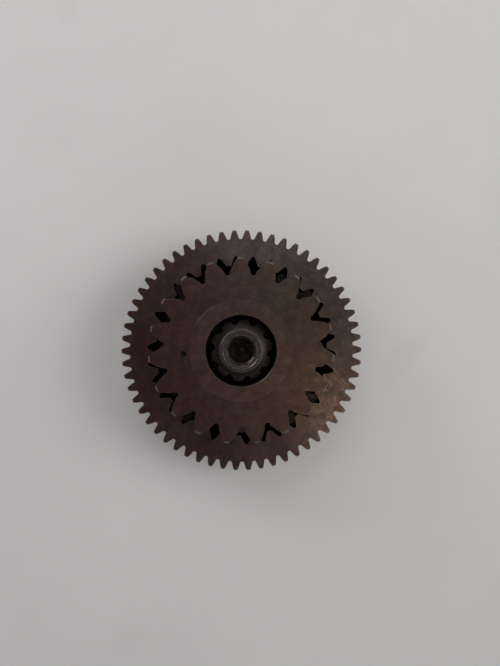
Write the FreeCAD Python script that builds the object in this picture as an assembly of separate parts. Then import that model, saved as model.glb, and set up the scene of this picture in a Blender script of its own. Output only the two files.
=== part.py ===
"""Planetary reduction unit: a ring gear toothed outside and inside, four planets on a two-plate carrier
whose front plate is itself a gear, and a central sun gear on a bored shaft.

Millimetres. +Z is the common axis and points out of the toothed carrier; the origin is the centre of
the rear plate's flat face, on which the unit stands. Every node is one STEP file in parts/.
"""
import FreeCAD, Part

import math
import os

from FreeCAD import Vector

# ---- gear data: teeth, module, profile shift -------------------------------------------------------
PRESSURE = math.radians(20)
RING_OUT_TEETH, RING_OUT_MODULE = 58, 1.0
MESH_MODULE = 1.25                     # sun, planets and the ring's inner teeth
SUN_TEETH, SUN_SHIFT = 10, 0.35
PLANET_TEETH, PLANET_SHIFT = 12, 0.20
RING_TEETH = SUN_TEETH + 2 * PLANET_TEETH
PLANETS = 4
CARRIER_TEETH, CARRIER_MODULE, CARRIER_SHIFT = 19, 2.25, -0.16
CARRIER_PRESSURE = math.radians(34)    # its steep flanks leave V-shaped spaces
BACKLASH = 0.05                        # taken off the width of each meshing tooth
ROOT_CLEARANCE = 0.31

# ---- phases, degrees about +Z at rest --------------------------------------------------------------
RING_OUT_PHASE = 0.346                 # centre of an outer tooth
RING_IN_PHASE = -2.07                  # centre of an inner tooth space
CARRIER_PHASE = -4.196                 # centre of a carrier tooth
PLANET_SLOT = 46.2                     # wanted angle of the first planet, rounded to a meshing one

# ---- heights along the axis ------------------------------------------------------------------------
REAR_PLATE_TOP = 4.0
INNER_GAP = 12.0                       # between the two carrier plates
FRONT_PLATE_BASE = REAR_PLATE_TOP + INNER_GAP
FRONT_PLATE_TOP = FRONT_PLATE_BASE + 3.2
BOSS_STEP = 0.15                       # the boss's whole height is chamfered
BOSS_TOP = FRONT_PLATE_TOP + BOSS_STEP
RING_PLAY = 0.2                        # axial play of the ring gear between the plates
RING_BASE = REAR_PLATE_TOP + RING_PLAY
RING_TOP = FRONT_PLATE_BASE - RING_PLAY
WASHER_THICK = 0.5
PLANET_PLAY = 0.1
PLANET_BASE = REAR_PLATE_TOP + WASHER_THICK + PLANET_PLAY
PLANET_TOP = FRONT_PLATE_BASE - WASHER_THICK - PLANET_PLAY

# ---- carrier -------------------------------------------------------------------------------------
CARRIER_TIP_R = 22.8
CARRIER_FLANK_R = 19.3                 # where the straight-looking flanks meet the root arcs
CARRIER_ROOT_R = 18.5
CARRIER_TIP_CHAMFER = 0.5
CARRIER_BORE_R = 8.55
BOSS_R = 12.75
DIMPLE_R = 0.9                         # timing dimple, a drilled cone
DIMPLE_DEPTH = 0.5
DIMPLE_X, DIMPLE_Y = -14.1, -0.9
PILLAR_R = 2.4
PILLAR_PITCH_R = 18.0
REAR_PLATE_R = 24.6                    # covers the ends of the ring gear's tooth spaces
CIRCLIP_POCKET_R = 7.0
CIRCLIP_POCKET_DEPTH = 1.6
PIN_R = 2.5
PIN_HOLE_DEPTH = 2.0
PIN_RECESS = 0.3
SCREW_R = 1.48
SCREW_HOLE_R = 1.5
SCREW_HEAD_R = 2.9
SCREW_HEAD_H = 1.5
SCREW_LENGTH = 11.0
SCREW_RECESS = 0.1
HEX_ACROSS_FLATS = 2.0

# ---- planets -------------------------------------------------------------------------------------
NEEDLES = 13
NEEDLE_R = 0.73
NEEDLE_PITCH_R = 3.25
PLANET_BORE_R = 4.0
WASHER_R = 5.9
WASHER_BORE_R = 2.6

# ---- sun -----------------------------------------------------------------------------------------
SUN_BASE = 4.5
SUN_TEETH_TOP = 15.6
SPLINE_TOP = 17.0
SUN_HUB_TOP = 18.6
SUN_HUB_R = 5.45
HUB_CHAMFER = 0.55                     # outer edge, worn bright
HUB_BORE_CHAMFER = 0.12
SPLINE_MODULE, SPLINE_SHIFT, SPLINE_PRESSURE = 1.4, 0.26, math.radians(30)
SPLINE_TIP_R, SPLINE_ROOT_R = 7.7, 6.45
SHAFT_R = 4.4
SHAFT_TOP = 18.5
SHAFT_CHAMFER = 0.15
SHAFT_BASE = 0.2
JOURNAL_R = 4.0
JOURNAL_TOP = 4.5
INPUT_BORE_R = 3.2
INPUT_BORE_FLOOR = 6.5                 # where the bore's straight wall ends
DRILL_POINT = 1.9                      # depth of the cone below it
BUSH_R = 5.5
BUSH_BORE_R = 4.03
BUSH_FLANGE_R = 6.8
BUSH_FLANGE_THICK = 0.8                # sunk flush into the rear plate
SUN_WASHER_BASE = 4.05
SUN_WASHER_THICK = 0.4
SUN_WASHER_R = 6.6
CIRCLIP_GROOVE_R = 3.8
CIRCLIP_THICK = 0.8
CIRCLIP_TOP = 1.5
CIRCLIP_R = 5.1

FLANK_POINTS = 6                       # points through which each involute flank is drawn
TWO_PI = 2 * math.pi


# ---- small helpers -------------------------------------------------------------------------------
def involute(angle):
    return math.tan(angle) - angle


def angle_of_involute(value):
    """The angle whose involute function is value, by Newton's method."""
    angle = 0.5
    for _ in range(30):
        angle -= (involute(angle) - value) / math.tan(angle) ** 2
    return angle


def polar(radius, angle, z=0.0):
    return Vector(radius * math.cos(angle), radius * math.sin(angle), z)


def cylinder(radius, base, top, x=0.0, y=0.0):
    return Part.makeCylinder(radius, top - base, Vector(x, y, base))


def turned(outline):
    """The solid of revolution of a closed (radius, z) outline about the Z axis."""
    points = [Vector(r, 0, z) for r, z in outline]
    face = Part.Face(Part.makePolygon(points + points[:1]))
    return face.revolve(Vector(0, 0, 0), Vector(0, 0, 1), 360)


def chamfered_disc(radius, base, top, base_chamfer, top_chamfer, x=0.0, y=0.0):
    """A disc with chamfered edges, as a turned blank is."""
    disc = turned([
        (0, base), (radius - base_chamfer, base), (radius, base + base_chamfer),
        (radius, top - top_chamfer), (radius - top_chamfer, top), (0, top),
    ])
    disc.translate(Vector(x, y, 0))
    return disc


def flared_bore(radius, base, top, base_chamfer, top_chamfer):
    """The tool that cuts a bore whose two mouths are chamfered."""
    return turned([
        (0, base), (radius + base_chamfer, base), (radius, base + base_chamfer),
        (radius, top - top_chamfer), (radius + top_chamfer, top), (0, top),
    ])


def at_angle(shape, degrees):
    turned_shape = shape.copy()
    turned_shape.rotate(Vector(0, 0, 0), Vector(0, 0, 1), degrees)
    return turned_shape


# ---- toothed outlines ----------------------------------------------------------------------------
def toothed_prism(teeth, module, shift, start_r, end_r, root_r, base, top, phase, widen=0.0,
                  pressure=PRESSURE):
    """A prism whose outline has involute lobes, flanked from start_r out to end_r.

    For an outer gear the lobes are teeth and root_r is below start_r. For a ring gear the prism is what
    the teeth leave, so its lobes are tooth spaces and root_r is beyond end_r. phase is the centre of the
    first lobe in degrees, and widen adds to a lobe's width at the pitch line.
    """
    pitch_r = teeth * module / 2
    base_r = pitch_r * math.cos(pressure)
    half_at_pitch = (math.pi / 2 + 2 * shift * math.tan(pressure)) / teeth + widen / (2 * pitch_r)

    def half_angle(radius):
        slope = math.acos(min(1.0, base_r / radius))
        return half_at_pitch + involute(pressure) - involute(slope)

    radii = [start_r + (end_r - start_r) * i / (FLANK_POINTS - 1) for i in range(FLANK_POINTS)]
    pitch_angle = TWO_PI / teeth
    outer_gear = root_r < start_r
    edges = []
    for k in range(teeth):
        centre = math.radians(phase) + k * pitch_angle
        rising = Part.BSplineCurve()
        rising.interpolate([polar(r, centre - half_angle(r), base) for r in radii])
        falling = Part.BSplineCurve()
        falling.interpolate([polar(r, centre + half_angle(r), base) for r in reversed(radii)])
        crest_r = end_r if outer_gear else root_r
        crest = Part.Arc(polar(end_r, centre - half_angle(end_r), base), polar(crest_r, centre, base),
                         polar(end_r, centre + half_angle(end_r), base))
        next_start = centre + pitch_angle - half_angle(start_r)
        valley_r = root_r if outer_gear else start_r
        valley = Part.Arc(polar(start_r, centre + half_angle(start_r), base),
                          polar(valley_r, centre + pitch_angle / 2, base),
                          polar(start_r, next_start, base))
        edges += [rising.toShape(), crest.toShape(), falling.toShape(), valley.toShape()]
    face = Part.Face(Part.Wire(edges))
    return face.extrude(Vector(0, 0, top - base))


# ---- working geometry of the planetary set -------------------------------------------------------
def mesh_angle():
    """The working pressure angle of sun and planet, and so of planet and ring."""
    shifts = SUN_SHIFT + PLANET_SHIFT
    teeth = SUN_TEETH + PLANET_TEETH
    return angle_of_involute(2 * shifts / teeth * math.tan(PRESSURE) + involute(PRESSURE))


STANDARD_CENTRE = MESH_MODULE * (SUN_TEETH + PLANET_TEETH) / 2
PLANET_ORBIT_R = STANDARD_CENTRE * math.cos(PRESSURE) / math.cos(mesh_angle())
TIP_SHORTENING = SUN_SHIFT + PLANET_SHIFT - (PLANET_ORBIT_R - STANDARD_CENTRE) / MESH_MODULE
RING_SHIFT = PLANET_SHIFT + ((RING_TEETH - PLANET_TEETH) / 2
                             * (involute(mesh_angle()) - involute(PRESSURE)) / math.tan(PRESSURE))
SUN_TIP_R = MESH_MODULE * (SUN_TEETH / 2 + 1 + SUN_SHIFT - TIP_SHORTENING)
SUN_ROOT_R = MESH_MODULE * (SUN_TEETH / 2 - 1.25 + SUN_SHIFT)
PLANET_TIP_R = MESH_MODULE * (PLANET_TEETH / 2 + 1 + PLANET_SHIFT - TIP_SHORTENING)
PLANET_ROOT_R = PLANET_ORBIT_R - SUN_TIP_R - ROOT_CLEARANCE
RING_TIP_R = 21.28                     # cut 0.35 mm short of full depth, clear of the planets' roots
RING_FLANK_R = 23.2                    # beyond this the spaces are rounded
RING_ROOT_R = 23.55

# A planet meshes at an angle where the ring's space, the sun's space and its own teeth all line up.
MESHING_STEP = 360 / (SUN_TEETH + RING_TEETH)
SUN_SPACE = -5.9                       # where a tooth space of the sun should lie
MESHING_START = ((SUN_SPACE * SUN_TEETH + RING_IN_PHASE * RING_TEETH) / (SUN_TEETH + RING_TEETH))
PLANET_PHASE = MESHING_START + MESHING_STEP * round((PLANET_SLOT - MESHING_START) / MESHING_STEP)


def planet_angles():
    return [PLANET_PHASE + k * 360 / PLANETS for k in range(PLANETS)]


def pillar_angles():
    return [angle + 180 / PLANETS for angle in planet_angles()]


def planet_tooth_angle(planet_angle):
    """The direction of a planet tooth that fills one of the ring's spaces."""
    return planet_angle + (RING_IN_PHASE - planet_angle) * RING_TEETH / PLANET_TEETH


def sun_tooth_angle():
    """The direction of a sun tooth: half a pitch from the space that the first planet fills."""
    lag = (RING_IN_PHASE - PLANET_PHASE) * RING_TEETH / SUN_TEETH
    return PLANET_PHASE - lag + 180 / SUN_TEETH


# ---- ring gear -----------------------------------------------------------------------------------
def ring_gear():
    pitch_r = RING_OUT_TEETH * RING_OUT_MODULE / 2
    tip_r, root_r = pitch_r + RING_OUT_MODULE, pitch_r - 1.25 * RING_OUT_MODULE
    body = toothed_prism(RING_OUT_TEETH, RING_OUT_MODULE, 0, root_r + 0.35, tip_r, root_r,
                         RING_BASE, RING_TOP, RING_OUT_PHASE)
    body = body.common(chamfered_disc(tip_r, RING_BASE, RING_TOP, 0.3, 0.3))
    spaces = toothed_prism(RING_TEETH, MESH_MODULE, RING_SHIFT, RING_TIP_R, RING_FLANK_R,
                           RING_ROOT_R, RING_BASE - 1, RING_TOP + 1, RING_IN_PHASE, widen=BACKLASH)
    return body.cut(spaces)


# ---- carrier -------------------------------------------------------------------------------------
def toothed_carrier():
    teeth = toothed_prism(CARRIER_TEETH, CARRIER_MODULE, CARRIER_SHIFT, CARRIER_FLANK_R, CARRIER_TIP_R,
                          CARRIER_ROOT_R, FRONT_PLATE_BASE, FRONT_PLATE_TOP, CARRIER_PHASE,
                          pressure=CARRIER_PRESSURE)
    plate = teeth.common(chamfered_disc(CARRIER_TIP_R, FRONT_PLATE_BASE, FRONT_PLATE_TOP,
                                        0.2, CARRIER_TIP_CHAMFER))
    boss = turned([(CARRIER_BORE_R, FRONT_PLATE_TOP - 1), (BOSS_R, FRONT_PLATE_TOP - 1),
                   (BOSS_R, FRONT_PLATE_TOP), (BOSS_R - BOSS_STEP, BOSS_TOP),
                   (CARRIER_BORE_R, BOSS_TOP)])
    plate = plate.fuse(boss)
    plate = plate.cut(flared_bore(CARRIER_BORE_R, FRONT_PLATE_BASE, BOSS_TOP, 0.3, 0.25))
    for angle in pillar_angles():
        spot = polar(PILLAR_PITCH_R, math.radians(angle))
        pillar = cylinder(PILLAR_R, REAR_PLATE_TOP, FRONT_PLATE_BASE, spot.x, spot.y)
        plate = plate.fuse(pillar)
        hole_top = SCREW_RECESS + SCREW_LENGTH + 0.8
        plate = plate.cut(cylinder(SCREW_HOLE_R, REAR_PLATE_TOP, hole_top, spot.x, spot.y))
    for angle in planet_angles():
        spot = polar(PLANET_ORBIT_R, math.radians(angle))
        plate = plate.cut(cylinder(PIN_R, FRONT_PLATE_BASE, FRONT_PLATE_BASE + PIN_HOLE_DEPTH,
                                   spot.x, spot.y))
    dimple_tip = Vector(DIMPLE_X, DIMPLE_Y, FRONT_PLATE_TOP - DIMPLE_DEPTH)
    dimple = Part.makeCone(0, DIMPLE_R, DIMPLE_DEPTH, dimple_tip)
    return plate.cut(dimple).removeSplitter()


def rear_plate():
    plate = chamfered_disc(REAR_PLATE_R, 0, REAR_PLATE_TOP, 0.5, 0.3)
    plate = plate.cut(cylinder(CIRCLIP_POCKET_R, -1, CIRCLIP_POCKET_DEPTH))
    plate = plate.cut(cylinder(BUSH_R, 0, REAR_PLATE_TOP + 1))
    plate = plate.cut(cylinder(BUSH_FLANGE_R, REAR_PLATE_TOP - BUSH_FLANGE_THICK, REAR_PLATE_TOP + 1))
    for angle in planet_angles():
        spot = polar(PLANET_ORBIT_R, math.radians(angle))
        plate = plate.cut(cylinder(PIN_R, -1, REAR_PLATE_TOP + 1, spot.x, spot.y))
    for angle in pillar_angles():
        spot = polar(PILLAR_PITCH_R, math.radians(angle))
        sink = turned([(0, -1), (SCREW_HEAD_R + 0.15, -1), (SCREW_HEAD_R + 0.15, SCREW_RECESS),
                       (SCREW_HOLE_R + 0.1, SCREW_RECESS + SCREW_HEAD_H), (SCREW_HOLE_R + 0.1, 5),
                       (0, 5)])
        sink.translate(spot)
        plate = plate.cut(sink)
    return plate


def carrier_screw(angle):
    """A countersunk socket screw that enters from the rear; its axis is a pillar's."""
    spot = polar(PILLAR_PITCH_R, math.radians(angle))
    tip = SCREW_RECESS + SCREW_LENGTH
    neck = SCREW_RECESS + SCREW_HEAD_H
    screw = turned([(0, SCREW_RECESS), (SCREW_HEAD_R, SCREW_RECESS), (SCREW_HEAD_R, SCREW_RECESS + 0.1),
                    (SCREW_R, neck), (SCREW_R, tip - 0.4), (SCREW_R - 0.4, tip), (0, tip)])
    corner_r = HEX_ACROSS_FLATS / math.sqrt(3)
    corners = [polar(corner_r, math.radians(60 * k), SCREW_RECESS) for k in range(7)]
    socket = Part.Face(Part.makePolygon(corners)).extrude(Vector(0, 0, 1.1))
    screw = screw.cut(socket)
    screw.translate(spot)
    return screw


def planet_pin(angle):
    spot = polar(PLANET_ORBIT_R, math.radians(angle))
    return chamfered_disc(PIN_R, PIN_RECESS, FRONT_PLATE_BASE + PIN_HOLE_DEPTH, 0.4, 0.3, spot.x, spot.y)


def planet_washer(angle, base):
    spot = polar(PLANET_ORBIT_R, math.radians(angle))
    top = base + WASHER_THICK
    washer = cylinder(WASHER_R, base, top, spot.x, spot.y)
    return washer.cut(cylinder(WASHER_BORE_R, base - 1, top + 1, spot.x, spot.y))


# ---- planets -------------------------------------------------------------------------------------
def planet_gear(angle):
    teeth = toothed_prism(PLANET_TEETH, MESH_MODULE, PLANET_SHIFT, 7.1, PLANET_TIP_R, PLANET_ROOT_R,
                          PLANET_BASE, PLANET_TOP, planet_tooth_angle(angle), widen=-BACKLASH)
    gear = teeth.common(chamfered_disc(PLANET_TIP_R, PLANET_BASE, PLANET_TOP, 0.3, 0.3))
    gear = gear.cut(flared_bore(PLANET_BORE_R, PLANET_BASE, PLANET_TOP, 0.3, 0.3))
    gear.translate(polar(PLANET_ORBIT_R, math.radians(angle)))
    return gear


def planet_needles(angle):
    """The full ring of loose needle rollers between a planet and its pin."""
    centre = polar(PLANET_ORBIT_R, math.radians(angle))
    rollers = []
    for k in range(NEEDLES):
        spot = centre + polar(NEEDLE_PITCH_R, TWO_PI * k / NEEDLES)
        rollers.append(chamfered_disc(NEEDLE_R, PLANET_BASE + 0.3, PLANET_TOP - 0.3, 0.2, 0.2,
                                      spot.x, spot.y))
    return Part.makeCompound(rollers)


# ---- sun -----------------------------------------------------------------------------------------
def sun_gear():
    phase = sun_tooth_angle()
    teeth = toothed_prism(SUN_TEETH, MESH_MODULE, SUN_SHIFT, 5.95, SUN_TIP_R, SUN_ROOT_R,
                          SUN_BASE, SUN_TEETH_TOP, phase, widen=-BACKLASH)
    teeth = teeth.common(chamfered_disc(SUN_TIP_R, SUN_BASE, SUN_TEETH_TOP, 0.4, 0.01))
    spline = toothed_prism(SUN_TEETH, SPLINE_MODULE, SPLINE_SHIFT, SPLINE_ROOT_R + 0.3, SPLINE_TIP_R,
                           SPLINE_ROOT_R, SUN_TEETH_TOP, SPLINE_TOP, phase, pressure=SPLINE_PRESSURE)
    spline = spline.common(chamfered_disc(SPLINE_TIP_R, SUN_TEETH_TOP, SPLINE_TOP, 0.2, 0.25))
    hub = chamfered_disc(SUN_HUB_R, SPLINE_TOP - 0.5, SUN_HUB_TOP, 0.0, HUB_CHAMFER)
    flare = turned([(SUN_HUB_R - 1, SPLINE_TOP - 0.2), (SPLINE_ROOT_R - 0.1, SPLINE_TOP - 0.2),
                    (SPLINE_ROOT_R - 0.1, SPLINE_TOP + 0.1), (SUN_HUB_R, SPLINE_TOP + 0.6),
                    (SUN_HUB_R - 1, SPLINE_TOP + 0.6)])
    gear = teeth.fuse(spline).fuse(hub).fuse(flare)
    return gear.cut(flared_bore(SHAFT_R, SUN_BASE, SUN_HUB_TOP, 0.2, HUB_BORE_CHAMFER))


def sun_shaft():
    groove_base = CIRCLIP_TOP - CIRCLIP_THICK
    shaft = turned([
        (0, SHAFT_BASE), (JOURNAL_R - 0.25, SHAFT_BASE), (JOURNAL_R, SHAFT_BASE + 0.25),
        (JOURNAL_R, groove_base), (CIRCLIP_GROOVE_R, groove_base),
        (CIRCLIP_GROOVE_R, CIRCLIP_TOP + 0.02), (JOURNAL_R, CIRCLIP_TOP + 0.02),
        (JOURNAL_R, JOURNAL_TOP), (SHAFT_R, JOURNAL_TOP),
        (SHAFT_R, SHAFT_TOP - SHAFT_CHAMFER), (SHAFT_R - SHAFT_CHAMFER, SHAFT_TOP), (0, SHAFT_TOP),
    ])
    bore = turned([(0, INPUT_BORE_FLOOR - DRILL_POINT), (INPUT_BORE_R, INPUT_BORE_FLOOR),
                   (INPUT_BORE_R, SHAFT_TOP - 0.45), (INPUT_BORE_R + 0.55, SHAFT_TOP + 0.1),
                   (0, SHAFT_TOP + 0.1)])
    return shaft.cut(bore)


def sun_bush():
    top = REAR_PLATE_TOP
    seat = top - BUSH_FLANGE_THICK
    return turned([(BUSH_BORE_R, CIRCLIP_POCKET_DEPTH), (BUSH_R, CIRCLIP_POCKET_DEPTH), (BUSH_R, seat),
                   (BUSH_FLANGE_R, seat), (BUSH_FLANGE_R, top - 0.2), (BUSH_FLANGE_R - 0.2, top),
                   (BUSH_BORE_R + 0.2, top), (BUSH_BORE_R, top - 0.2)])


def sun_washer():
    top = SUN_WASHER_BASE + SUN_WASHER_THICK
    washer = cylinder(SUN_WASHER_R, SUN_WASHER_BASE, top)
    return washer.cut(cylinder(JOURNAL_R + 0.1, SUN_WASHER_BASE - 1, top + 1))


def sun_circlip():
    """An open ring with two holed ears, snapped into the shaft's groove."""
    base = CIRCLIP_TOP - CIRCLIP_THICK
    ear_r, ear_spot, ear_angle, slot_angle = 1.15, 5.15, math.radians(24), 13
    ring = cylinder(CIRCLIP_R, base, CIRCLIP_TOP, -0.25, 0)
    for side in (-1, 1):
        ear = polar(ear_spot, side * ear_angle)
        ring = ring.fuse(cylinder(ear_r, base, CIRCLIP_TOP, ear.x, ear.y))
    for side in (-1, 1):
        ear = polar(ear_spot, side * ear_angle)
        ring = ring.cut(cylinder(0.55, base - 1, CIRCLIP_TOP + 1, ear.x, ear.y))
    slot = [Vector(0, 0, base - 1), polar(9, -math.radians(slot_angle), base - 1),
            polar(9, math.radians(slot_angle), base - 1), Vector(0, 0, base - 1)]
    ring = ring.cut(Part.Face(Part.makePolygon(slot)).extrude(Vector(0, 0, 4)))
    ring = ring.cut(cylinder(CIRCLIP_GROOVE_R + 0.01, base - 1, CIRCLIP_TOP + 1))
    return at_angle(ring, PLANET_PHASE + 45)


# ---- export --------------------------------------------------------------------------------------
def nodes():
    made = {
        "ring_gear": ring_gear(),
        "toothed_carrier": toothed_carrier(),
        "rear_plate": rear_plate(),
        "sun_gear": sun_gear(),
        "sun_shaft": sun_shaft(),
        "sun_bush": sun_bush(),
        "sun_washer": sun_washer(),
        "sun_circlip": sun_circlip(),
    }
    for k, angle in enumerate(planet_angles(), start=1):
        made[f"planet_gear_{k}"] = planet_gear(angle)
        made[f"planet_needles_{k}"] = planet_needles(angle)
        made[f"planet_pin_{k}"] = planet_pin(angle)
        made[f"planet_washer_rear_{k}"] = planet_washer(angle, REAR_PLATE_TOP)
        made[f"planet_washer_front_{k}"] = planet_washer(angle, FRONT_PLATE_BASE - WASHER_THICK)
    for k, angle in enumerate(pillar_angles(), start=1):
        made[f"carrier_screw_{k}"] = carrier_screw(angle)
    return made


def main():
    os.makedirs("parts", exist_ok=True)
    for name, shape in nodes().items():
        shape.exportStep(f"parts/{name}.step")
        print(name, "solids", len(shape.Solids), "volume", round(shape.Volume, 1), shape.isValid())
    print("planet orbit", round(PLANET_ORBIT_R, 4), "planet phase", round(PLANET_PHASE, 4),
          "sun tooth", round(sun_tooth_angle() % 36, 3), "ring shift", round(RING_SHIFT, 3))


main()
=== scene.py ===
"""Looks, floor, light and camera for the planetary reduction unit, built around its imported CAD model."""

import math

import bpy
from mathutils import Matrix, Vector


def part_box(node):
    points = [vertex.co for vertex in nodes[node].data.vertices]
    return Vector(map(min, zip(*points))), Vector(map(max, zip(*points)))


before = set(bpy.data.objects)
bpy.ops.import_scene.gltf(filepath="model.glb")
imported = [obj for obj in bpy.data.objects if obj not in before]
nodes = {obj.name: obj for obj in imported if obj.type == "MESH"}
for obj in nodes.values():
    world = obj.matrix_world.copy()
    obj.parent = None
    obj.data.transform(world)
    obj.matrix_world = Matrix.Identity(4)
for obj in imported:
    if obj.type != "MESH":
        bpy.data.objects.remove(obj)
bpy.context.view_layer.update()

MM = 0.001


# ---- node-tree helpers ---------------------------------------------------------------------------
class Tree:
    """A material's node tree, with short calls for the nodes that the materials share."""

    def __init__(self, name):
        self.material = bpy.data.materials.new(name)
        self.material.use_nodes = True
        self.tree = self.material.node_tree
        self.tree.nodes.clear()
        output = self.tree.nodes.new("ShaderNodeOutputMaterial")
        self.shader = self.tree.nodes.new("ShaderNodeBsdfPrincipled")
        self.link(self.shader.outputs[0], output.inputs["Surface"])
        coordinate = self.tree.nodes.new("ShaderNodeTexCoord")
        self.position = coordinate.outputs["Object"]

    def link(self, source, target):
        self.tree.links.new(source, target)

    def put(self, value, socket):
        """Give a socket a number or colour, or link another node's output to it."""
        if isinstance(value, bpy.types.NodeSocket):
            self.link(value, socket)
        else:
            socket.default_value = value

    def math(self, operation, a, b=0.0, c=0.0, clamp=False):
        node = self.tree.nodes.new("ShaderNodeMath")
        node.operation = operation
        node.use_clamp = clamp
        for value, socket in zip((a, b, c), node.inputs):
            self.put(value, socket)
        return node.outputs[0]

    def vector(self, operation, a, b=(0.0, 0.0, 0.0)):
        node = self.tree.nodes.new("ShaderNodeVectorMath")
        node.operation = operation
        self.put(a, node.inputs[0])
        self.put(b, node.inputs[1])
        return node.outputs["Value"] if operation in ("DOT_PRODUCT", "LENGTH") else node.outputs[0]

    def noise(self, scale, detail=3.0, roughness=0.55, distortion=0.0):
        node = self.tree.nodes.new("ShaderNodeTexNoise")
        node.inputs["Scale"].default_value = scale
        node.inputs["Detail"].default_value = detail
        node.inputs["Roughness"].default_value = roughness
        node.inputs["Distortion"].default_value = distortion
        self.link(self.position, node.inputs["Vector"])
        return node.outputs["Fac"]

    def ramp(self, value, low, high, to_low=0.0, to_high=1.0, smooth=True):
        """to_low where the value is low, to_high where it is high, and between them on the way."""
        node = self.tree.nodes.new("ShaderNodeMapRange")
        if smooth:
            node.interpolation_type = "SMOOTHSTEP"
        self.put(value, node.inputs["Value"])
        self.put(low, node.inputs["From Min"])
        self.put(high, node.inputs["From Max"])
        self.put(to_low, node.inputs["To Min"])
        self.put(to_high, node.inputs["To Max"])
        return node.outputs[0]

    def colour_mix(self, factor, a, b, blend="MIX"):
        node = self.tree.nodes.new("ShaderNodeMix")
        node.data_type = "RGBA"
        node.blend_type = blend
        self.put(factor, node.inputs[0])
        self.put(a, node.inputs[6])
        self.put(b, node.inputs[7])
        return node.outputs[2]

    def shaded(self, colour, factor):
        """The colour times a factor."""
        return self.colour_mix(1.0, colour, factor, "MULTIPLY")

    def bump(self, height, strength, distance):
        node = self.tree.nodes.new("ShaderNodeBump")
        node.inputs["Strength"].default_value = strength
        node.inputs["Distance"].default_value = distance
        self.link(height, node.inputs["Height"])
        return node.outputs[0]

    def edge_mask(self, radius):
        """1 on edges and 0 away from them: how far the rounded normal leaves the true one."""
        bevel = self.tree.nodes.new("ShaderNodeBevel")
        bevel.samples = 6
        bevel.inputs["Radius"].default_value = radius
        geometry = self.tree.nodes.new("ShaderNodeNewGeometry")
        agreement = self.vector("DOT_PRODUCT", bevel.outputs[0], geometry.outputs["True Normal"])
        return self.ramp(agreement, 0.995, 0.80)

    def along(self, axis):
        """The position's coordinate on one axis: 0, 1 or 2 for x, y or z."""
        split = self.tree.nodes.new("ShaderNodeSeparateXYZ")
        self.link(self.position, split.inputs[0])
        return split.outputs[axis]

    def radius(self):
        """Distance from the common axis."""
        flat = self.vector("MULTIPLY", self.position, (1.0, 1.0, 0.0))
        return self.vector("LENGTH", flat)

    def upward(self):
        """The upward part of the surface's own normal: 1 on a top face, 0 on a wall, -1 underneath."""
        geometry = self.tree.nodes.new("ShaderNodeNewGeometry")
        return self.vector("DOT_PRODUCT", geometry.outputs["True Normal"], (0.0, 0.0, 1.0))

    def between(self, value, low, high):
        above = self.math("GREATER_THAN", value, low)
        return self.math("MULTIPLY", above, self.math("LESS_THAN", value, high))

    def zone(self, inner, outer, low, high):
        """1 between two radii and two heights, given in millimetres, and 0 elsewhere."""
        band = self.between(self.radius(), inner * MM, outer * MM)
        return self.math("MULTIPLY", band, self.between(self.along(2), low * MM, high * MM))


# ---- metals --------------------------------------------------------------------------------------
# painted light: along TINT_DIRECTION every part turns from its left colour to a lighter right one, as the
# light falls from the right
TINT_DIRECTION = (0.93, 0.37, 0.0)
TINT_WIDTH = 52 * MM                      # across which the left tint turns into the right one
RING_STRONG_AT = 26 * MM                  # this far to the right the turned rings show most: painted sheen from the light on the right
EDGE_WIDTH = 0.14 * MM
OXIDE_RELIEF = 0.02 * MM                  # height of the pores and turned rings
GROUND_RELIEF = 0.01 * MM
GROUND_PITCH = 0.12 * MM                  # of the fine rings on ground steel

# scales of the noises, in waves per metre
DRIFT = 90.0                              # of one tint into the other
RING_WANDER = 260.0                       # of the turned rings
CLOUDS = 480.0
GROUND_CLOUDS = 600.0
SMEARS = 700.0                            # of oil, which change the roughness
GROUND_SMEARS = 900.0
RUBBING = 1500.0                          # breaks up the polished edges
GRAIN = 2600.0
GROUND_SCRATCHES = 5000.0
PORES = 5200.0

# painted shade: the recesses get this near-black colour, and a higher metallic and roughness, so the hollows
# show no reflections
SHADE_BLACK = (0.007, 0.0042, 0.0036, 1.0)
SHADE_METALLIC = 0.97
SHADE_ROUGHER = 0.25                        # added to the roughness in the recesses


def oxide_tint_and_side_light(t, across, left, right, relief):
    """Two oxide tints that drift into each other, the right one lighter as painted light from the right side,
    under soft clouds and a fine grain.
    """
    drift = t.math("SUBTRACT", t.noise(DRIFT, 2.0), 0.5)
    side = t.math("ADD", t.math("MULTIPLY", across, 1 / TINT_WIDTH), 0.5)
    side = t.math("ADD", side, t.math("MULTIPLY", drift, 0.9), clamp=True)
    clouds = t.ramp(t.noise(CLOUDS, 4.0, 0.6), 0.30, 0.72, 0.80, 1.20)
    grain = t.ramp(t.noise(GRAIN, 4.0, 0.8), 0.32, 0.68, 1.0 - 0.74 * relief, 1.0 + 0.80 * relief)
    return t.shaded(t.colour_mix(side, left, right), t.math("MULTIPLY", clouds, grain))


def turned_rings(t, across, upward, pitch):
    """Waves about the common axis, coarse ones with fine ones on them, on the flat faces only, and stronger
    towards the right as painted sheen.
    """
    wander = t.math("MULTIPLY", t.noise(RING_WANDER, 2.0), 1.6)
    coarse = t.math("SINE", t.math("ADD", t.math("MULTIPLY", t.radius(), 2 * math.pi / pitch), wander))
    fine = t.math("SINE", t.math("MULTIPLY", t.radius(), 2 * math.pi / (pitch * 0.37)))
    # painted sheen: the rings' contrast rises from half to 1.7 times towards the right
    flat = t.math("MULTIPLY", t.ramp(upward, 0.90, 0.98), t.ramp(across, 0.0, RING_STRONG_AT, 0.5, 1.7))
    return t.math("MULTIPLY", t.math("ADD", coarse, t.math("MULTIPLY", fine, 0.35)), flat)


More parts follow.
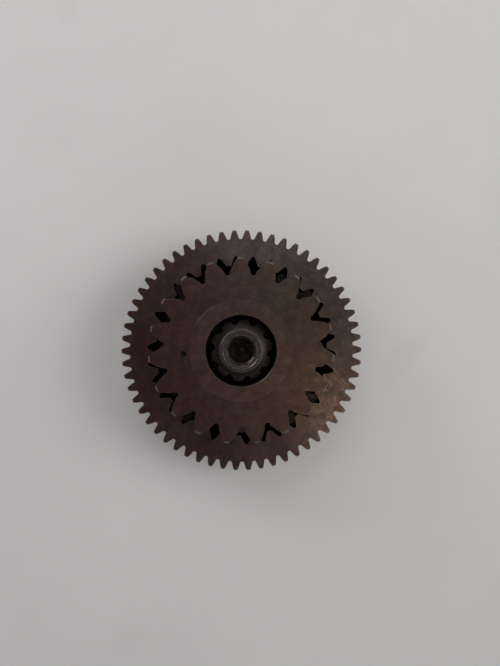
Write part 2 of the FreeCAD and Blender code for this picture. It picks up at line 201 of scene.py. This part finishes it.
def rubbed_edges(t, upward, unworn):
    """1 on chamfers and edges, in patches, and 0 elsewhere; less in the unworn zone."""
    chamfer = t.math("MULTIPLY", t.ramp(upward, 0.30, 0.60), t.ramp(upward, 0.97, 0.90))
    edges = t.math("MAXIMUM", t.edge_mask(EDGE_WIDTH), t.math("MULTIPLY", chamfer, 0.75))
    edges = t.math("MULTIPLY", edges, t.ramp(t.noise(RUBBING, 3.0), 0.20, 0.65, 0.35, 1.0))
    if unworn:
        kept = t.math("SUBTRACT", 1.0, t.math("MULTIPLY", t.zone(*unworn), 0.7))
        edges = t.math("MULTIPLY", edges, kept)
    return edges


def oxidised_steel(name, left, right, worn, roughness=0.28, metallic=0.6, wear=0.6, relief=0.35,
                   ring_pitch=0.55 * MM, ring_depth=1.0, tinted=(), unworn=(), recesses=(), recess_shade=0.1):
    """Steam-oxidised sintered steel.

    Two oxide tints, left and right, drift into each other along TINT_DIRECTION; the right one is
    lighter, which is painted light from the right side. Over them lie pores, turned rings on the flat
    faces, whose contrast grows towards the right as painted sheen, polished chamfers and edges of the
    worn colour, and recesses that get painted shade: near-black, more metallic and rougher. recesses
    are zones, and tinted is pairs of a zone and the colour that multiplies the oxide's there.
    bump, and the grain follows it. recess_shade is how much of the tint a recess keeps.
    """
    t = Tree(name)
    across = t.vector("DOT_PRODUCT", t.position, TINT_DIRECTION)
    upward = t.math("ABSOLUTE", t.upward())
    rings = turned_rings(t, across, upward, ring_pitch)
    lines = t.ramp(rings, -1.2, 1.2, 1.0 - 0.13 * ring_depth, 1.0 + 0.13 * ring_depth, smooth=False)
    tint = t.shaded(oxide_tint_and_side_light(t, across, left, right, relief), lines)
    for place, colour in tinted:
        tint = t.colour_mix(t.zone(*place), tint, colour, "MULTIPLY")
    edges = rubbed_edges(t, upward, unworn)
    tint = t.colour_mix(t.math("MULTIPLY", edges, wear), tint, worn)
    # painted shade: each recess zone turns the colour towards the near-black shade colour and raises metallic
    # and roughness
    painted_shade = 0.0
    for recess in recesses:
        inside = t.zone(*recess)
        tint = t.colour_mix(t.math("MULTIPLY", inside, 1.0 - recess_shade), tint, SHADE_BLACK)
        painted_shade = t.math("MAXIMUM", painted_shade, inside)
    t.link(tint, t.shader.inputs["Base Color"])

    t.link(t.math("MULTIPLY_ADD", painted_shade, SHADE_METALLIC - metallic, metallic), t.shader.inputs["Metallic"])
    t.shader.inputs["Specular IOR Level"].default_value = 0.25
    smears = t.ramp(t.noise(SMEARS, 3.0), 0.3, 0.7, roughness - 0.05, roughness + 0.07)
    smears = t.math("SUBTRACT", smears, t.math("MULTIPLY", edges, 0.08))
    t.link(t.math("ADD", smears, t.math("MULTIPLY", painted_shade, SHADE_ROUGHER)), t.shader.inputs["Roughness"])
    pores = t.ramp(t.noise(PORES, 2.0, 0.6), 0.20, 0.46)
    height = t.math("ADD", t.math("MULTIPLY", pores, 0.5), t.math("MULTIPLY", rings, 0.25 * ring_depth))
    t.link(t.bump(height, relief, OXIDE_RELIEF), t.shader.inputs["Normal"])
    return t.material


def ground_steel(name, colour, roughness=0.28, bore=None, bore_colour=None):
    """Turned or ground metal with fine rings about the common axis and light smudges.

    bore is a zone that has bore_colour instead.
    """
    t = Tree(name)
    clouds = t.ramp(t.noise(GROUND_CLOUDS, 4.0), 0.3, 0.7, 0.72, 1.18)
    ring = t.math("SINE", t.math("MULTIPLY", t.radius(), 2 * math.pi / GROUND_PITCH))
    lines = t.ramp(ring, -1.0, 1.0, 0.90, 1.08, smooth=False)
    tint = t.colour_mix(t.zone(*bore), colour, bore_colour) if bore else colour
    t.link(t.shaded(tint, t.math("MULTIPLY", clouds, lines)), t.shader.inputs["Base Color"])
    t.shader.inputs["Metallic"].default_value = 1.0
    smears = t.ramp(t.noise(GROUND_SMEARS, 3.0), 0.3, 0.7, roughness - 0.06, roughness + 0.10)
    t.link(smears, t.shader.inputs["Roughness"])
    t.link(t.bump(t.noise(GROUND_SCRATCHES, 2.0), 0.15, GROUND_RELIEF), t.shader.inputs["Normal"])
    return t.material


# ---- zones of the parts --------------------------------------------------------------------------
def top(node):
    """Height of a CAD node's highest point, in millimetres."""
    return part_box(node)[1].z / MM


RING_TOP = top("ring_gear")
CARRIER_TOP = top("toothed_carrier")      # the face of its boss
HUB_TOP = top("sun_gear")
SHAFT_TOP = top("sun_shaft")
REAR_TOP = top("rear_plate")

# each zone is its inner and outer radius and its lowest and highest point, in millimetres
# RING_TEETH, CARRIER_INSIDE, CARRIER_BORE, DIMPLE, SUN_TEETH, PLANET_MESH and REAR_FACE are recesses that get
# painted shade
RING_TEETH = (0, 23.9, 0, RING_TOP - 0.05)
CARRIER_INSIDE = (0, 20.6, 0, RING_TOP + 0.15)
CARRIER_BORE = (0, 8.74, 0, CARRIER_TOP + 0.05)
BOSS_FACE = (8.6, 12.6, CARRIER_TOP - 0.15, CARRIER_TOP + 0.65)
BOSS_STEP = (12.5, 13.0, CARRIER_TOP - 0.14, CARRIER_TOP - 0.01)
DIMPLE = (13.0, 15.2, CARRIER_TOP - 0.85, CARRIER_TOP - 0.17)
STEP_AND_DIMPLE = (12.4, 15.2, CARRIER_TOP - 0.85, CARRIER_TOP + 0.05)
HUB_FACE = (4.3, 4.9, HUB_TOP - 0.1, HUB_TOP + 0.4)
HUB_FOOT = (5.3, 6.7, HUB_TOP - 1.7, HUB_TOP - 0.85)
SPLINE_ENDS = (6.9, 9.0, HUB_TOP - 3.6, HUB_TOP - 1.5)
SUN_TEETH = (5.3, 9.0, 0, HUB_TOP - 0.85)
PLANET_MESH = (0, 9.5, 0, RING_TOP + 0.2)
REAR_FACE = (0, 24.4, REAR_TOP - 0.4, REAR_TOP + 1.0)
SHAFT_BORE = (0, 3.25, 0, SHAFT_TOP - 0.3)

# ---- materials of the parts ----------------------------------------------------------------------
WORN_STEEL = (0.26, 0.235, 0.22, 1.0)
BRIGHT_STEEL = (0.50, 0.45, 0.43, 1.0)
POLISH = (1.18, 1.20, 1.22, 1.0)
STEP_SHADE = (0.60, 0.60, 0.60, 1.0)
HUB_SHADE = (0.55, 0.48, 0.52, 1.0)

# painted shade: the washers sit deep inside and get a near-black colour
washer_steel = ground_steel("washer_steel", (0.014, 0.012, 0.011, 1.0), roughness=0.40)
spring_steel = ground_steel("spring_steel", (0.035, 0.034, 0.036, 1.0), roughness=0.38)

# the metal of each CAD node, by the start of the node's name
METALS = {
    "ring_gear": oxidised_steel(
        "ring_oxide", left=(0.052, 0.0220, 0.0220, 1.0), right=(0.078, 0.059, 0.050, 1.0),
        worn=WORN_STEEL, roughness=0.24, ring_depth=1.3, recesses=[RING_TEETH]),
    "toothed_carrier": oxidised_steel(
        "carrier_oxide", left=(0.058, 0.0220, 0.0245, 1.0), right=(0.066, 0.045, 0.032, 1.0),
        worn=WORN_STEEL, ring_pitch=0.42 * MM, ring_depth=0.4,
        tinted=[(BOSS_FACE, POLISH), (BOSS_STEP, STEP_SHADE)], unworn=STEP_AND_DIMPLE,
        recesses=[CARRIER_INSIDE, CARRIER_BORE, DIMPLE]),
    "sun_gear": oxidised_steel(
        "sun_oxide", left=(0.075, 0.054, 0.055, 1.0), right=(0.090, 0.073, 0.066, 1.0),
        worn=BRIGHT_STEEL, roughness=0.30, metallic=0.8, wear=0.95, relief=0.1, ring_pitch=0.3 * MM,
        tinted=[(HUB_FACE, HUB_SHADE), (SPLINE_ENDS, HUB_SHADE)], unworn=HUB_FOOT,
        recesses=[SUN_TEETH], recess_shade=0.35),
    # painted shade: the planets' near-black colours and their recess stand in for the shade deep inside the
    # unit
    "planet_gear": oxidised_steel(
        "planet_oxide_and_shade", left=(0.010, 0.0075, 0.007, 1.0), right=(0.013, 0.011, 0.010, 1.0),
        worn=(0.04, 0.036, 0.034, 1.0), metallic=0.9, ring_pitch=0.5 * MM,
        recesses=[PLANET_MESH], recess_shade=0.2),
    "rear_plate": oxidised_steel(
        "rear_plate_oxide", left=(0.040, 0.027, 0.026, 1.0), right=(0.048, 0.036, 0.032, 1.0),
        worn=WORN_STEEL, ring_pitch=0.5 * MM, recesses=[REAR_FACE]),
    "sun_shaft": ground_steel(
        "shaft_ground_steel", (0.085, 0.070, 0.067, 1.0), roughness=0.30,
        bore=SHAFT_BORE, bore_colour=(0.25, 0.235, 0.215, 1.0)),
    "planet_pin": ground_steel("pin_ground_steel", (0.20, 0.18, 0.17, 1.0)),
    "planet_needles": ground_steel("needle_ground_steel", (0.22, 0.21, 0.20, 1.0), roughness=0.20),
    "sun_bush": ground_steel("bronze", (0.30, 0.17, 0.075, 1.0), roughness=0.34),
    "sun_washer": washer_steel,
    "planet_washer": washer_steel,
    "sun_circlip": spring_steel,
    "carrier_screw": spring_steel,
}

for node_name, obj in nodes.items():
    metal = next(metal for prefix, metal in METALS.items() if node_name.startswith(prefix))
    obj.data.materials.clear()
    obj.data.materials.append(metal)

# ---- floor ---------------------------------------------------------------------------------------
FLOOR_SIZE = 2.4
FLOOR_GAP = 0.02 * MM                     # keeps the floor clear of the rear plate's underside
FLOOR_COLOUR = (0.785, 0.768, 0.752, 1.0)
# painted shade: the floor's colour is scaled from NEAR_TONE at FLOOR_NEAR to FAR_TONE at FLOOR_FAR
FLOOR_NEAR, FLOOR_FAR = -90 * MM, 90 * MM
NEAR_TONE, FAR_TONE = 0.87, 1.025


def pale_floor():
    """Smooth pale board with faint mottling and smudges, and painted shade that makes it a little darker at
    the near side.
    """
    t = Tree("pale_floor")
    mottle = t.ramp(t.noise(9.0, 5.0, 0.6), 0.3, 0.7, 0.96, 1.03)
    smudge = t.ramp(t.noise(34.0, 3.0, 0.5, distortion=0.6), 0.60, 0.78, 1.0, 0.955)
    # painted shade: darker towards the near side
    tone = t.ramp(t.along(1), FLOOR_NEAR, FLOOR_FAR, NEAR_TONE, FAR_TONE, smooth=False)
    shade = t.math("MULTIPLY", t.math("MULTIPLY", mottle, smudge), tone)
    t.link(t.shaded(FLOOR_COLOUR, shade), t.shader.inputs["Base Color"])
    t.shader.inputs["Roughness"].default_value = 0.7
    t.shader.inputs["Specular IOR Level"].default_value = 0.25
    return t.material


bpy.ops.mesh.primitive_plane_add(size=FLOOR_SIZE, location=(0, 0, -FLOOR_GAP))
floor = bpy.context.object
floor.name = "floor"
floor.data.materials.append(pale_floor())


# ---- light ---------------------------------------------------------------------------------------
def lamp(name, location, size, watts, target=(0, 0, 0), colour=(1.0, 1.0, 1.0), spread=180):
    """A round area light that faces the target; spread is the full angle of its beam in degrees."""
    data = bpy.data.lights.new(name, "AREA")
    data.shape = "DISK"
    data.size = size
    data.energy = watts
    data.color = colour
    data.spread = math.radians(spread)
    obj = bpy.data.objects.new(name, data)
    obj.location = location
    obj.rotation_euler = (Vector(target) - Vector(location)).to_track_quat("-Z", "Y").to_euler()
    bpy.context.scene.collection.objects.link(obj)


lamp("right_lamp", (0.90, 0.12, 0.62), size=0.8, watts=4.8)
lamp("top_lamp", (-0.10, 0.80, 0.70), size=0.8, watts=1.75, colour=(1.0, 1.0, 0.98))
lamp("sky_lamp", (0.03, 0.30, 0.95), size=0.30, watts=0.27, colour=(0.98, 0.99, 1.0))
lamp("warm_lamp", (0.196, -0.154, 1.0), size=0.08, watts=0.31, colour=(1.0, 0.72, 0.46))
lamp("side_lamp", (-0.55, 0.50, 0.22), size=0.45, watts=0.28, target=(0, 0, 0.015),
     colour=(0.95, 0.97, 1.0), spread=70)

WORLD_COLOUR = (0.93, 0.95, 1.0, 1.0)
WORLD_STRENGTH = 0.285
world = bpy.data.worlds.new("studio")
world.use_nodes = True
background = world.node_tree.nodes["Background"]
background.inputs["Color"].default_value = WORLD_COLOUR
background.inputs["Strength"].default_value = WORLD_STRENGTH
bpy.context.scene.world = world

# ---- camera, which looks straight down -----------------------------------------------------------
FOCAL_PIXELS = 500.8
IMAGE_HEIGHT = 666                        # the longer side, which the sensor's width is fitted to
SENSOR = 36.0
CAMERA_X, CAMERA_Y = 2.157 * MM, 4.315 * MM
CAMERA_HEIGHT = 124.9 * MM                # above the ring gear's face
camera_data = bpy.data.cameras.new("camera")
camera_data.sensor_width = SENSOR
camera_data.sensor_fit = "AUTO"
camera_data.lens = SENSOR * FOCAL_PIXELS / IMAGE_HEIGHT
camera_data.clip_start = 1 * MM
camera = bpy.data.objects.new("camera", camera_data)
camera.location = (CAMERA_X, CAMERA_Y, RING_TOP * MM + CAMERA_HEIGHT)
bpy.context.scene.collection.objects.link(camera)
bpy.context.scene.camera = camera
bpy.context.scene.view_settings.view_transform = "Standard"
